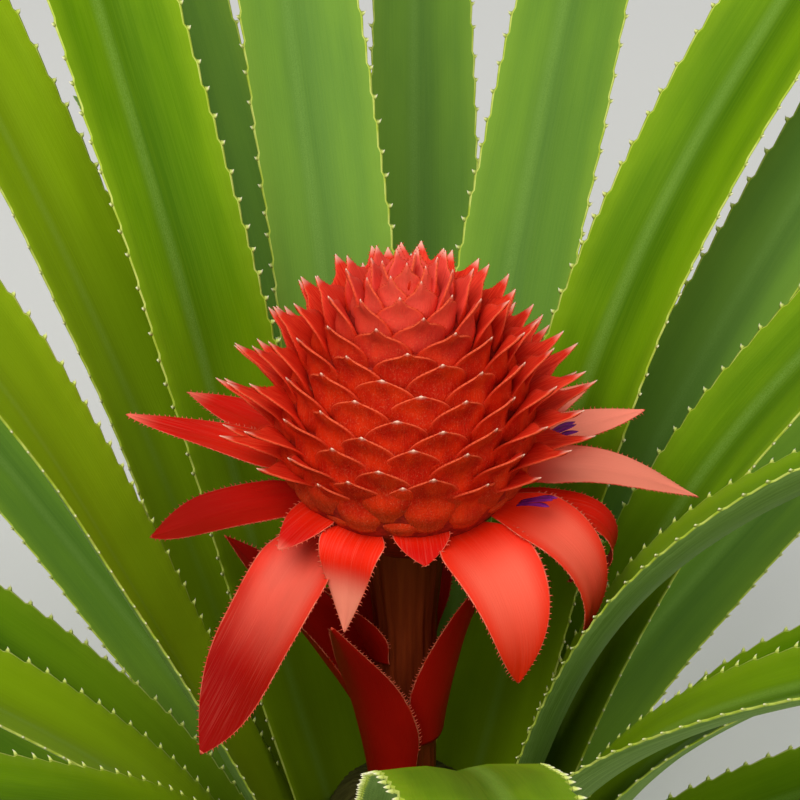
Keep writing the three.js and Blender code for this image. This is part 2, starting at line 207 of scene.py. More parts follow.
class Shell:
    """The vertices, faces and vertex values of a piece while it is put together."""

    def __init__(self):
        self.points, self.faces, self.slots, self.uvs, self.values = [], [], [], [], []
        self.count = 0

    def add_points(self, points, values):
        """Adds points with one value vector each, and returns the first one's number."""
        first = self.count
        points = np.asarray(points, float).reshape(-1, 3)
        self.points.append(points)
        self.values.append(np.broadcast_to(np.asarray(values, float), (len(points), 6)))
        self.count += len(points)
        return first

    def add_faces(self, faces, slots, uvs):
        faces = np.asarray(faces)
        self.faces.append(faces)
        self.slots.append(np.broadcast_to(slots, len(faces)))
        self.uvs.append(np.broadcast_to(uvs, faces.shape + (2,)))

    def piece(self, name, materials):
        """The finished object, in metres, with its vertex values as two named vectors."""
        mesh = bpy.data.meshes.new(name)
        points = np.concatenate(self.points) * MM
        corners = np.concatenate([f.ravel() for f in self.faces])
        sizes = np.concatenate([np.full(len(f), f.shape[1]) for f in self.faces])
        mesh.vertices.add(len(points))
        mesh.vertices.foreach_set("co", points.ravel())
        mesh.loops.add(len(corners))
        mesh.loops.foreach_set("vertex_index", corners)
        mesh.polygons.add(len(sizes))
        mesh.polygons.foreach_set("loop_start", np.cumsum(sizes) - sizes)
        mesh.polygons.foreach_set("material_index", np.concatenate(self.slots))
        mesh.polygons.foreach_set("use_smooth", np.ones(len(sizes), bool))
        mesh.update(calc_edges=True)
        values = np.concatenate(self.values)
        for key, columns in (("grain", values[:, :3]), ("place", values[:, 3:])):
            layer = mesh.attributes.new(key, "FLOAT_VECTOR", "POINT")
            layer.data.foreach_set("vector", columns.ravel())
        uv = mesh.uv_layers.new(name="OFBake")
        uv.data.foreach_set("uv", np.concatenate([u.reshape(-1, 2) for u in self.uvs]).ravel())
        for material in materials:
            mesh.materials.append(material)
        return placed(name, mesh)


def zip_strip(first, first_parts, second, second_parts):
    """Triangles between two rows of points that start and end at the same corners."""
    faces, i, j = [], 0, 0
    while i < len(first) - 1 or j < len(second) - 1:
        step_first = j == len(second) - 1 or (
            i < len(first) - 1 and first_parts[i + 1] >= second_parts[j + 1]
        )
        corner = first[i + 1] if step_first else second[j + 1]
        if len({first[i], second[j], corner}) == 3:
            faces.append((first[i], second[j], corner))
        i, j = (i + 1, j) if step_first else (i, j + 1)
    return faces


def add_blade(shell, blade, line, u, tops, unders, lift, seed, slots, atlas):
    """Adds a blade's closed surface.

    u[station, part] is a grid of shares of the length for the parts [1, *tops, -1, *unders].
    lift(u, part, face) is how far a face lies off the blade's middle. slots are the material
    slots of top, underside and margin. atlas(u, part, face) places a point in the map.
    """
    parts = np.concatenate([[1], tops, [-1], unders])
    faces = np.concatenate([[0], np.ones(len(tops)), [0], -np.ones(len(unders))])
    rows, columns = u.shape
    part = np.broadcast_to(parts, u.shape)
    face = np.broadcast_to(faces, u.shape)
    points = on_blade(blade, line, u, part, lift(u, part, face))
    across = part * blade.half_width(u)
    values = np.stack(
        [across, u * blade.length, np.full(u.shape, seed), part, u, np.full(u.shape, blade.carried)],
        -1,
    )
    first = shell.add_points(points, values.reshape(-1, 6))
    number = first + np.arange(rows * columns).reshape(rows, columns)
    ring = np.roll(number, -1, axis=1)
    quads = np.stack([number[:-1], ring[:-1], ring[1:], number[1:]], -1).reshape(-1, 4)
    turn = len(tops) + 1
    column_slot = np.full(columns, slots[0])
    column_slot[turn:] = slots[1]
    column_slot[[0, turn - 1, turn, columns - 1]] = slots[2]
    column_face = np.where(np.arange(columns) < turn, 1, -1)
    next_part, next_u = np.roll(parts, -1), np.roll(u, -1, axis=1)
    corner_u = np.stack([u[:-1], next_u[:-1], next_u[1:], u[1:]], -1)
    corner_part = np.stack([parts, next_part, next_part, parts], -1)
    corner_part = np.broadcast_to(corner_part, corner_u.shape)
    corner_face = np.broadcast_to(column_face[:, None], corner_u.shape)
    uvs = atlas(corner_u, corner_part, corner_face).reshape(-1, 4, 2)
    shell.add_faces(quads, np.tile(column_slot, rows - 1), uvs)

    tip = shell.add_points(line.point[-1], [0, blade.length, seed, 0, 1, blade.carried])
    last = number[-1]
    fan = np.stack([last, np.roll(last, -1), np.full(columns, tip)], -1)
    shell.add_faces(fan, np.full(columns, slots[2]), uvs[-columns:, :3])
    top_row = list(number[0, : turn + 1])
    under_row = [number[0, 0]] + list(number[0, :turn:-1]) + [number[0, turn]]
    under_parts = [1] + list(parts[:turn:-1]) + [-1]
    cap = zip_strip(top_row, list(parts[: turn + 1]), under_row, under_parts)
    shell.add_faces(cap, slots[1], uvs[0, :3])


def add_cones(shell, base, out, along, length, width, hook, seed, carried, slot, strip, sides):
    """Small hooked cones, one at each base point, that lean towards along by hook.

    strip is the low and the high corner of the part of the map that they all share.
    """
    count = len(base)
    out = out / np.linalg.norm(out, axis=1)[:, None]
    third = np.cross(along, out)
    turn = np.arange(sides) * 2 * math.pi / sides
    foot = base[:, None] - out[:, None] * CONE_SUNK + (
        along[:, None] * (np.cos(turn)[None, :, None] * width[:, None, None])
        + third[:, None] * (np.sin(turn)[None, :, None] * width[:, None, None] * CONE_FLATNESS)
    )
    bend = out * (length * CONE_BEND_FROM)[:, None] + along * (length * hook * 0.25)[:, None]
    middle = base[:, None] + bend[:, None] + 0.5 * (foot - base[:, None] + out[:, None] * CONE_SUNK)
    peak = base + out * length[:, None] + along * (length * hook)[:, None]
    grain = np.zeros((count, 6))
    grain[:, 2] = seed
    grain[:, 5] = carried
    low, high = grain.copy(), grain.copy()
    high[:, 4] = 1
    ring_low = shell.add_points(foot, np.repeat(low, sides, 0))
    low[:, 4] = 0.5
    ring_mid = shell.add_points(middle, np.repeat(low, sides, 0))
    tips = shell.add_points(peak, high)
    k = np.arange(count)[:, None]
    i = np.arange(sides)[None, :]
    j = (i + 1) % sides
    a, b = ring_low + k * sides + i, ring_low + k * sides + j
    c, d = ring_mid + k * sides + i, ring_mid + k * sides + j
    (x0, y0), (x1, y1) = strip
    xm, ym = (x0 + x1) / 2, (y0 + y1) / 2
    lower = [(x0, y0), (x1, y0), (x1, ym), (x0, ym)]
    upper = [(x0, ym), (x1, ym), (xm, y1)]
    cap_top = y0 + (y1 - y0) * CAP_HEIGHT
    cap = [(lerp(x0, x1, t), cap_top if t == 0.5 else y0) for t in np.linspace(0, 1, sides)]
    shell.add_faces(np.stack([a, b, d, c], -1).reshape(-1, 4), slot, lower)
    shell.add_faces(np.stack([c, d, tips + k + 0 * i], -1).reshape(-1, 3), slot, upper)
    shell.add_faces((ring_low + k * sides + i[:, ::-1]).reshape(-1, sides), slot, cap)


def margin_cones(shell, blade, line, lift, shares, sizes, hook, seed, slot, strip, sides=3):
    """Cones along both margins of a blade.

    shares holds the left and the right ones. sizes(u) is their lengths and their widths.
    """
    for sign, u in zip((-1, 1), shares):
        edge = np.full(len(u), float(sign))
        base = on_blade(blade, line, u, edge, lift(u, edge, 0 * edge))
        inner = on_blade(blade, line, u, edge * 0.9, lift(u, edge * 0.9, 0 * edge))
        along = read(line, u, line.along)
        out = base - inner
        add_cones(shell, base, out, along, *sizes(u), hook, seed, blade.carried, slot, strip, sides)


def grid(rows, tops, unders):
    """Even shares of the length for each part of a blade, without the tip itself."""
    u = np.linspace(0, 1, rows + 1)[:-1]
    return np.tile(u[:, None], (1, len(tops) + len(unders) + 2))


def blade_of(**parts):
    """A blade with no sway, roll or scallop unless it says so."""
    straight = dict(sway=0, roll=lambda u: 0 * u, scallop=lambda u, part: 0 * part, carried=0)
    return SimpleNamespace(**{**straight, **parts})


# Leaves

# Those that stand out, by their order: foot and blade rises, where the leaf bends between
# them in millimetres from its foot, how far it arches over, and its painted light tint, which
# greys a leaf above 0 as painted sheen and yellows it below 0 as painted light through it
SET_LEAVES = {
    0: dict(azimuth=343, base=75, rise=37, bend=(45, 220), arch=14, roll=-24),
    1: dict(azimuth=138, sway=-22, base=72, rise=54, bend=(100, 300), arch=12, bloom=0),
    2: dict(azimuth=273, base=70, rise=50.8, bend=(20, 100), arch=36, width=36, channel=400),
    3: dict(azimuth=43, base=74, rise=46, bend=(90, 290), arch=12, bloom=0),
    4: dict(azimuth=186, base=70, rise=50, bend=(160, 360), arch=24, roll=-16, bloom=-0.4),
    6: dict(azimuth=103, base=71, rise=50, bend=(80, 260), arch=10),
    7: dict(azimuth=226, base=66, rise=45, bend=(20, 140), arch=56, length=590),
    8: dict(azimuth=18, base=71, rise=43, bend=(70, 280), arch=14),
    9: dict(azimuth=146, base=70, rise=65, bend=(100, 300), arch=18, width=42, bloom=-0.35),
    11: dict(azimuth=72, base=70, rise=45, bend=(80, 260), arch=20),
    12: dict(azimuth=194, base=66, rise=43, bend=(20, 180), arch=26, bloom=-0.3),
    13: dict(azimuth=338, base=70, rise=36, bend=(60, 240), arch=24),
    14: dict(azimuth=113, base=69, rise=45, bend=(60, 260), arch=18),
    16: dict(azimuth=38, base=72, rise=57, bend=(70, 275), arch=20, bloom=0.5),
    17: dict(azimuth=170, base=67, rise=41, bend=(20, 180), arch=22),
    19: dict(azimuth=86, base=69, rise=41, bend=(40, 240), arch=10),
}
LEAF_TOPS = (0.972, 0.8, 0.6, 0.38, 0.17, 0, -0.17, -0.38, -0.6, -0.8, -0.972)
LEAF_UNDERS = (-0.972, -0.66, -0.33, 0, 0.33, 0.66, 0.972)
FIRST_SPINE, LAST_SPINE = 36, 9
SCALLOP_DEPTH = 0.75
MAP_STRIP = 0.97


def stem_radius(height):
    flare = (STEM_FOOT_RADIUS - STEM_NECK_RADIUS) * np.exp(-height / STEM_FLARE_FALL)
    swell = smoothstep(height, STEM_NECK_HEIGHT, STEM_CROWN_HEIGHT)
    body = lerp(STEM_NECK_RADIUS, STEM_CROWN_RADIUS, swell) + flare
    over = (height - STEM_CROWN_HEIGHT) / (STEM_HEIGHT - STEM_CROWN_HEIGHT)
    top = lerp(STEM_TOP_RADIUS, STEM_CROWN_RADIUS, np.sqrt(np.clip(1 - over * over, 0, 1)))
    return np.where(height <= STEM_CROWN_HEIGHT, body, top)


def leaf_rule(order):
    outward = order / (LEAF_COUNT - 1)
    azimuth = FIRST_LEAF_AZIMUTH + order * GOLDEN_ANGLE
    towards_back = math.sin(math.radians(azimuth))
    lower = LEAF_FRONT_LOWER * max(0, -towards_back) * (1 - outward)
    rule = dict(
        azimuth=azimuth,
        height=LEAF_TOP_HEIGHT - order * LEAF_STEP,
        base=LEAF_FOOT_RISE,
        rise=lerp(LEAF_INNER_RISE, LEAF_OUTER_RISE, outward**0.9) - lower,
        bend=(20, lerp(220, 120, outward)),
        arch=34 + 8 * math.sin(order * 2.4),
        length=lerp(LEAF_INNER_LENGTH, LEAF_OUTER_LENGTH, outward) + 30 * math.sin(order * 1.7),
        width=lerp(LEAF_INNER_WIDTH, LEAF_OUTER_WIDTH, outward),
        sway=6 * math.sin(order * 3.1),
        roll=0,
        channel=CHANNEL_RADIUS,
        bloom=LEAF_BACK_PAINTED_SHEEN * max(0, towards_back) ** 1.5,
    )
    rule.update(SET_LEAVES.get(order, {}))
    return SimpleNamespace(**rule)


def leaf_blade(leaf):
    solid = leaf.length * LEAF_SOLID_THICKNESS_PART
    hug = stem_radius(leaf.height) + HUG_GAP + solid / 2 * math.sin(math.radians(leaf.base))

    def rise(u):
        bent = smoothstep(u * leaf.length, *leaf.bend)
        return lerp(leaf.base, leaf.rise, bent) - leaf.arch * u**1.7

    def narrowing(u):
        return taper(u, LEAF_TAPER_FROM, 1.8)

    def curve(u):
        radius = 1 / lerp(1 / CHANNEL_RADIUS, 1 / leaf.channel, smoothstep(u, 0.1, 0.35))
        return 1 / np.maximum(FOOT_CHANNEL_RADIUS, radius * narrowing(u) + 1)

    return blade_of(
        start=seat(leaf.azimuth, hug, leaf.height),
        azimuth=leaf.azimuth,
        sway=leaf.sway,
        length=leaf.length,
        rise=rise,
        roll=lambda u: leaf.roll * smoothstep(u, 0.05, 0.4),
        half_width=lambda u: leaf.width / 2 * narrowing(u),
        curve=curve,
        carried=leaf.bloom,
        solid=solid,
    )


def leaf_map(u, part, face):
    """A leaf's map: its upper and under sides in three lengths each, side by side."""
    third = np.clip(np.floor(u.mean(-1, keepdims=True) * 3), 0, 2)
    column = third * 2 + (face < 0)
    x = MAP_STRIP * (column + 0.03 + 0.94 * (np.clip(part, -1, 1) + 1) / 2) / 6
    y = 0.01 + 0.98 * np.clip(u * 3 - third, 0, 1)
    return np.stack([x, y], -1)


def leaf_piece(order):
    leaf = leaf_rule(order)
    blade = leaf_blade(leaf)
    rng = np.random.default_rng(SEED + order)
    seed = float(order) * 3.7
    outward = np.arange(FIRST_SPINE, leaf.length - LAST_SPINE)
    pitch = lerp(SPINE_NEAR_PITCH, SPINE_FAR_PITCH, smoothstep(outward, 60, 400))
    passed = np.cumsum(1 / pitch)
    nominal = np.interp(np.arange(passed[0], passed[-1]), passed, outward)
    pitch = np.interp(nominal, outward, pitch)
    jitter = (-SPINE_JITTER, SPINE_JITTER, len(nominal))
    edges = [nominal + rng.uniform(*jitter) * pitch for _ in range(2)]
    edges[1] += pitch * rng.uniform(-0.3, 0.3)

    def scallop(u, part):
        """The margin falls back past each spine and swells out again towards the next."""
        places = [np.interp(u * leaf.length, e, np.arange(len(e))) for e in edges]
        past = np.where(part < 0, *places) % 1
        hollow = SCALLOP_DEPTH * (0.35 - smoothstep(past, 0, 0.22) * (1 - past) ** 1.2 * 1.5)
        beside = np.sign(part) * np.abs(part) ** 8 * smoothstep(u, 0.05, 0.12)
        return hollow * beside * np.minimum(1, blade.half_width(u) / 6)

    blade.scallop = scallop
    line = centre_line(blade)
    steps = np.arange(0, len(nominal) - 1 + 1e-6, 1 / STEPS_A_SPINE)
    rows = np.concatenate(
        [
            np.linspace(0, nominal[0], 8)[:-1],
            np.interp(steps, np.arange(len(nominal)), nominal),
            np.linspace(nominal[-1], leaf.length, 6)[1:-1],
        ]
    )
    sides = [np.interp(rows, [0, *nominal, leaf.length], [0, *e, leaf.length]) for e in edges]
    parts = np.concatenate([[1], LEAF_TOPS, [-1], LEAF_UNDERS])
    u = lerp(sides[0][:, None], sides[1][:, None], (parts + 1) / 2) / leaf.length
    phase = rng.uniform(0, 2 * math.pi, 3)

    def lift(u, part, face):
        seated = (blade.solid - LEAF_THICKNESS) / 2 * (1 - smoothstep(u, 0, 0.08))
        groove = -1.5 * bump(part, 0, 0.2) * smoothstep(u, 0.08, 0.25) * taper(u, 0.5, 2)
        wave = np.sin(u * leaf.length / 26 + phase[0]) + np.sin(u * leaf.length / 11 + phase[1])
        ripple = 0.22 * wave * np.abs(part) ** 3 * smoothstep(u, 0.1, 0.3) * np.sign(part + 0.01)
        half = 0.3 + (LEAF_THICKNESS / 2 - 0.3) * (1 - part**2)
        return seated + groove + ripple + face * half * np.minimum(1, blade.half_width(u) / 8)

    shell = Shell()
    add_blade(shell, blade, line, u, LEAF_TOPS, LEAF_UNDERS, lift, seed, (0, 1, 2), leaf_map)

    def sizes(u):
        slimmer = np.minimum(1, blade.half_width(u) / 9)
        return SPINE_LENGTH * slimmer * rng.uniform(0.8, 1.2, len(u)), SPINE_FOOT * slimmer

    shares = [edge / leaf.length for edge in edges]
    strip = ((MAP_STRIP + 0.004, 0.01), (0.996, 0.99))
    margin_cones(shell, blade, line, lift, shares, sizes, SPINE_HOOK, seed, 3, strip, sides=4)
    piece = shell.piece("blade_%02d" % (order + 1), LEAF_LOOKS)
    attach(piece, "root")
    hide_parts("leaf_%02d" % (order + 1))


# Flower head


def core_radius(height):
    up = (height - HEAD_FOOT_HEIGHT) / (CORE_WIDEST_HEIGHT - HEAD_FOOT_HEIGHT)
    below = lerp(HEAD_FOOT_RADIUS, CORE_WIDEST_RADIUS, np.sin(up * np.pi / 2))
    over = (height - CORE_WIDEST_HEIGHT) / (CORE_APEX_HEIGHT - CORE_WIDEST_HEIGHT)
    above = CORE_WIDEST_RADIUS * (1 - np.clip(over, 0, 1) ** 1.8) ** 0.72
    return np.where(height < CORE_WIDEST_HEIGHT, below, above)


def scale_places():
    """The height and radius of each scale: they share out the core's surface."""
    places = []
    stride = 0.1
    share = 0
    height = CORE_APEX_HEIGHT
    while len(places) < SCALE_COUNT:
        radius = float(core_radius(height - stride))
        slant = math.hypot(float(core_radius(height)) - radius, stride)
        grown = smoothstep(len(places), 0, SCALE_COUNT * 0.25)
        share += 2 * math.pi * radius * slant / lerp(SCALE_FIRST_AREA, SCALE_LAST_AREA, grown)
        height -= stride
        if share >= 1:
            share -= 1
            places.append((height, radius))
    return places


def scale_blade(place, order, rng):
    """A scale: an upright broad foot, then a claw that bends outwards and tapers to a fine tip."""
    height, radius = place
    down = order / (SCALE_COUNT - 1)
    azimuth = order * GOLDEN_ANGLE
    towards_front = max(0, -math.sin(math.radians(azimuth)))
    lowest = smoothstep(down, 0.82, 1)
    shorter = SCALE_LOWEST_SHORTER * lowest
    upper = smoothstep(down, 0, 0.3)
    foot_length = lerp(*SCALE_FOOT_LENGTHS, upper) - shorter
    grown = 0.45 * smoothstep(down, 0, 0.4) + 0.55 * smoothstep(down, 0.35, 0.95)
    front = towards_front**2 * smoothstep(down, 0.15, 0.4)
    length = (lerp(SCALE_SHORTEST, SCALE_LONGEST, grown) - shorter) * rng.uniform(0.95, 1.03)
    length = length * (1 - SCALE_FRONT_SHORTER * front)
    broad = foot_length / length
    drop = SCALE_DROP * (1 - 0.9 * smoothstep(down, 0.86, 1))
    belly = lerp(*SCALE_FOOT_RISES, down) + rng.uniform(-2, 2)
    claw = lerp(*SCALE_CLAW_RISES, upper) - SCALE_CLAW_FALL * smoothstep(down, 0.35, 1)
    claw = claw + rng.uniform(-4, 4) + front * lerp(*SCALE_FRONT_LIFTS, down)
    width = SCALE_HALF_WIDTH * lerp(0.52, 1, smoothstep(down, -0.05, 0.28))
    reach = lerp(0.6, 0.92, front)

    def half_width(u):
        foot = lerp(0.7, 1, smoothstep(u, 0, 0.5 * broad))
        past = np.maximum(0, (u - 0.75 * broad) / (1 - 0.75 * broad))
        arch = 1 - lerp(0.7, 0.86, front) * np.minimum(1, past / reach) ** 2.1
        tip = 1 - np.maximum(0, (past - reach) / (1 - reach))
        return width * foot * arch * tip

    def rise(u):
        flick = 10 * (1 - front) * smoothstep(u, 0.8, 1)
        return lerp(belly, claw, smoothstep(u, 0.6 * broad, broad + 0.2)) + flick

    return blade_of(
        start=seat(azimuth, radius - SCALE_SUNK, height - drop),
        azimuth=azimuth,
        sway=rng.uniform(-7, 7),
        length=length,
        rise=rise,
        half_width=half_width,
        curve=lambda u: lerp(1 / 16, 1 / 40, bump(u, broad, 0.5 * broad)),
        carried=down,
        broad=broad,
    )


SCALE_TOPS = (0.97, 0.5, 0, -0.5, -0.97)
SCALE_UNDERS = (-0.97, -0.82, -0.58, -0.3, 0, 0.3, 0.58, 0.82, 0.97)
SCALE_ROWS = 30
SCALE_TEETH = dict(start=0.42, pitch=0.9, lengths=(0.3, 0.6), width=0.22, hook=1.2)
TEETH_END = 0.97
HEAD_CELLS = 12


def scale_lift(blade):
    """Fleshy below and thin in the claw, with a puffed outer face and a low keel."""
    broad = blade.broad

    def lift(u, part, face):
        crown = 1 - part**2
        thin = smoothstep(u, 0.6 * broad, broad + 0.12)
        inner = 0.25 + (lerp(1.8, 0.45, thin) - 0.25) * crown
        puff = lerp(0.6, 1.6, smoothstep(blade.carried, 0, 0.4)) * bump(u, 0.55 * broad, 0.35 * broad)
        keel = 0.4 * bump(part, 0, 0.3) * smoothstep(u, 0.8 * broad, 1.2 * broad)
        outer = 0.25 + (lerp(2.0, 0.5, thin) - 0.25) * crown + puff * crown**1.3 + keel
        shrink = 1 - smoothstep(u, 0.85, 1) * 0.7
        return np.where(face > 0, inner, np.where(face < 0, -outer, 0)) * shrink

    return lift


def cell_map(cell, cells):
    """One cell of a square map: the inner face, the outer face and a strip for the teeth."""
    x0, y0 = (cell % cells) / cells, (cell // cells) / cells
    size = 1 / cells

    def atlas(u, part, face):
        across = (np.clip(part, -1, 1) + 1) / 2
        x = np.where(face < 0, 0.02 + 0.5 * across, 0.55 + 0.33 * across)
        return np.stack([x0 + size * x, y0 + size * (0.02 + 0.96 * u)], -1)

    strip = ((x0 + size * 0.92, y0 + size * 0.03), (x0 + size * 0.98, y0 + size * 0.97))
    return atlas, strip


def add_teeth(shell, blade, line, lift, rng, seed, strip, start, pitch, lengths, width, hook):
    """Fine teeth along both margins, from a share of the length almost to the tip."""
    count = max(2, int(blade.length * (TEETH_END - start) / pitch))
    even = np.linspace(start, TEETH_END, count)
    shares = [even + rng.uniform(-0.3, 0.3, count) * pitch / blade.length for _ in range(2)]

    def sizes(u):
        return rng.uniform(*lengths, len(u)), np.full(len(u), width)

    margin_cones(shell, blade, line, lift, shares, sizes, hook, seed, 2, strip)


def head_piece():
    rng = np.random.default_rng(SEED)
    shell = Shell()
    u = grid(SCALE_ROWS, SCALE_TOPS, SCALE_UNDERS)
    for order, place in enumerate(scale_places()):
        blade = scale_blade(place, order, rng)
        line = centre_line(blade, 90)
        atlas, strip = cell_map(order, HEAD_CELLS)
        seed = order * 1.9
        lift = scale_lift(blade)
        add_blade(shell, blade, line, u, SCALE_TOPS, SCALE_UNDERS, lift, seed, (1, 0, 2), atlas)
        add_teeth(shell, blade, line, lift, rng, seed, strip, **SCALE_TEETH)
    core, _ = cell_map(SCALE_COUNT, HEAD_CELLS)
    heights = np.linspace(HEAD_FOOT_HEIGHT, CORE_APEX_HEIGHT - 0.5, 24)
    add_turned(shell, lambda z, a: core_radius(z) + 0 * a, heights, 48, 3, core)
    piece = shell.piece("head_scales", HEAD_LOOKS)
    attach(piece, "root")
    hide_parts("flower_head")


def add_turned(shell, radius, heights, sides, slot, atlas):
    """A closed body round Z. radius(height, angle) may vary round the body."""
    angle = np.arange(sides) * 2 * math.pi / sides
    z, a = np.meshgrid(heights, angle, indexing="ij")
    r = radius(z, a)
    points = np.stack([r * np.cos(a), r * np.sin(a), z], -1)
    u = (z - heights[0]) / (heights[-1] - heights[0])
    values = np.stack([r * 0 + a * r.mean(), z, 0 * z, a / math.pi - 1, u, 0 * z], -1)
    first = shell.add_points(points, values.reshape(-1, 6))
    number = first + np.arange(z.size).reshape(z.shape)
    ring = np.roll(number, -1, axis=1)
    quads = np.stack([number[:-1], ring[:-1], ring[1:], number[1:]], -1).reshape(-1, 4)
    part = np.stack([a, a + angle[1], a + angle[1], a], -1)[:-1] / math.pi - 1
    corner_u = np.stack([u[:-1], u[:-1], u[1:], u[1:]], -1)
    shell.add_faces(quads, slot, atlas(corner_u, part, 1 + 0 * part).reshape(-1, 4, 2))
    for row, flip in ((0, -1), (-1, 1)):
        centre = shell.add_points([0, 0, heights[row]], [0, heights[row], 0, 0, abs(row), 0])
        rim = number[row][::flip]
        fan = np.stack([rim, np.roll(rim, -1), np.full(sides, centre)], -1)
        edge = np.stack([angle, angle + angle[1], angle], -1) / math.pi - 1
        rise = np.broadcast_to([0.0, 0.0, 0.01], edge.shape)
        shell.add_faces(fan, slot, atlas(rise, edge, 1 + 0 * edge))


# Bracts

# Above every share of a length, so that a blade stays red to its tip
NEVER_PALE = 1.5

# Long red bracts under the head: where each leaves the head's foot, its first and last rise,
# the shares of its length between which it bends if not all along it, its length and width,
# and the share of its length from which it turns pale, if it does
LONG_BRACTS = (
    dict(azimuth=-114, height=328.6, rise=(-2, -84), bend=(0.18, 0.48), length=39.5, width=21, pale=0.5),
    dict(azimuth=-139, height=320.5, rise=(-6, -52), bend=(0, 0.42), length=84, width=29),
    dict(azimuth=-58, height=325.5, rise=(3, -98), bend=(0.1, 1), length=62, width=28),
    dict(azimuth=-29, height=328, rise=(0, -106), bend=(0.1, 1), length=64, width=24),
    dict(azimuth=-9, height=323, rise=(-2, -150), bend=(0.35, 0.95), length=68, width=17),
    dict(azimuth=6, height=327, rise=(6, -28), length=67, width=21, pale=0.2),
    dict(azimuth=21, height=329.4, rise=(8, 2), length=52, width=18, pale=0.3),
    dict(azimuth=38, height=326, rise=(11, 4), length=50, width=18, pale=0.6),
    dict(azimuth=76, height=328, rise=(12, -50), length=62, width=21, pale=0.8),
    dict(azimuth=112, height=327, rise=(14, -30), length=52, width=19, pale=0.5),
    dict(azimuth=150, height=327, rise=(10, 4), length=53, width=18, pale=0.9),
    dict(azimuth=172, height=328, rise=(17, 12), length=60, width=17, pale=0.9),
    dict(azimuth=194, height=325, rise=(4, -15), length=54, width=20),
    dict(azimuth=221, height=331, rise=(-4, -28), length=22, width=15, pale=0.9),
    dict(azimuth=-82, height=329.9, rise=(2, -26), bend=(0.1, 0.9), length=16, width=17),
)
LONG_BRACT_SUNK = 6

# Where a long bract's taper starts and how blunt it is, and the bracts that differ, by number
LONG_BRACT_TAPER = (0.35, 1.8)
LONG_BRACT_TAPERS = {1: (0.25, 1.1), 2: (0.55, 2.2), 13: (0.6, 2.4)}

# Upright dark red bracts up the flower stalk
STALK_BRACTS = (
    dict(azimuth=169, height=236, rise=(64, 46), length=78, width=31),
    dict(azimuth=-36, height=234, rise=(83, 68), length=78, width=26),
    dict(azimuth=72, height=262, rise=(64, 30), length=50, width=21),
    dict(azimuth=112, height=252, rise=(66, 34), length=60, width=21),
    dict(azimuth=214, height=266, rise=(74, 50), length=40, width=20),
    dict(azimuth=-121, height=216, rise=(81, 60), length=90, width=28),
)
BRACT_SOLID_THICKNESS = 2.6
BRACT_TOPS = (0.97, 0.74, 0.47, 0.2, 0, -0.2, -0.47, -0.74, -0.97)
BRACT_UNDERS = (-0.97, -0.6, -0.25, 0, 0.25, 0.6, 0.97)
BRACT_ROWS = 64
BRACT_TEETH = dict(start=0.2, pitch=1.5, lengths=(0.7, 1.1), width=0.32, hook=0.7)


def long_bract_blade(bract, number):
    first, last = bract["rise"]
    bend = bract.get("bend", (0, 1))
    foot = float(core_radius(bract["height"])) - LONG_BRACT_SUNK
    half = bract["width"] / 2
    narrowing = LONG_BRACT_TAPERS.get(number, LONG_BRACT_TAPER)
    return blade_of(
        start=seat(bract["azimuth"], foot, bract["height"]),
        azimuth=bract["azimuth"],
        length=bract["length"],
        rise=lambda u: lerp(first, last, smoothstep(u, *bend)),
        half_width=lambda u: half * lerp(0.42, 1, smoothstep(u, 0, 0.3)) * taper(u, *narrowing),
        curve=lambda u: lerp(1 / 14, 1 / 30, smoothstep(u, 0, 0.3)),
        carried=bract.get("pale", NEVER_PALE),
    )


def stalk_bract_blade(bract):
    first, last = bract["rise"]
    lean = math.sin(math.radians(first))
    hug = STALK_RADIUS + HUG_GAP + BRACT_SOLID_THICKNESS / 2 * lean
    half = bract["width"] / 2
    return blade_of(
        start=seat(bract["azimuth"], hug, bract["height"]),
        azimuth=bract["azimuth"],
        length=bract["length"],
        rise=lambda u: lerp(first, last, u),
        half_width=lambda u: half * lerp(0.7, 1, smoothstep(u, 0, 0.3)) * taper(u, 0.3, 1.8),
        curve=lambda u: lerp(lean / hug, 1 / 15, smoothstep(u, 0, 0.4)),
        carried=NEVER_PALE,
    )


def bract_piece(name, node, blade, looks, seed):
    rng = np.random.default_rng(SEED + 100 + int(seed))
    line = centre_line(blade, 160)
    shell = Shell()
    phase = rng.uniform(0, 2 * math.pi, 2)

    def lift(u, part, face):
        rib = -0.35 * bump(part, 0, 0.18) * smoothstep(u, 0.1, 0.3)
        ripple = 0.3 * np.sin(u * blade.length / 7 + phase[0] + 2 * part) * np.abs(part) ** 2
        half = 0.15 + 0.5 * (1 - part**2)
        return rib + ripple * smoothstep(u, 0.2, 0.4) + face * half * (1 - 0.6 * u)

    atlas, strip = cell_map(0, 1)
    u = grid(BRACT_ROWS, BRACT_TOPS, BRACT_UNDERS)
    add_blade(shell, blade, line, u, BRACT_TOPS, BRACT_UNDERS, lift, seed, (0, 1, 2), atlas)
    add_teeth(shell, blade, line, lift, rng, seed, strip, **BRACT_TEETH)
    piece = shell.piece(name, looks)
    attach(piece, "root")
    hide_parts(node)


# Small parts of the flowers

SMALL_TOPS, SMALL_UNDERS = (0.6, 0, -0.6), (-0.6, 0, 0.6)
SEPAL_CELLS = 12
PETAL_CELLS = 5
PETAL_LENGTH = 12

# Open flowers: the azimuth and height of each, among the lower scales
FLOWERS = ((7, 338), (-31, 333), (62, 341), (136, 342))


def add_small_blade(shell, blade, rows, half_thickness, seed, atlas):
    """A blade of one material, thickest along its middle and sharp at its edges."""

    def lift(u, part, face):
        return face * half_thickness * (1 - part**2)

    line = centre_line(blade, 40)
    u = grid(rows, SMALL_TOPS, SMALL_UNDERS)
    add_blade(shell, blade, line, u, SMALL_TOPS, SMALL_UNDERS, lift, seed, (0, 0, 0), atlas)


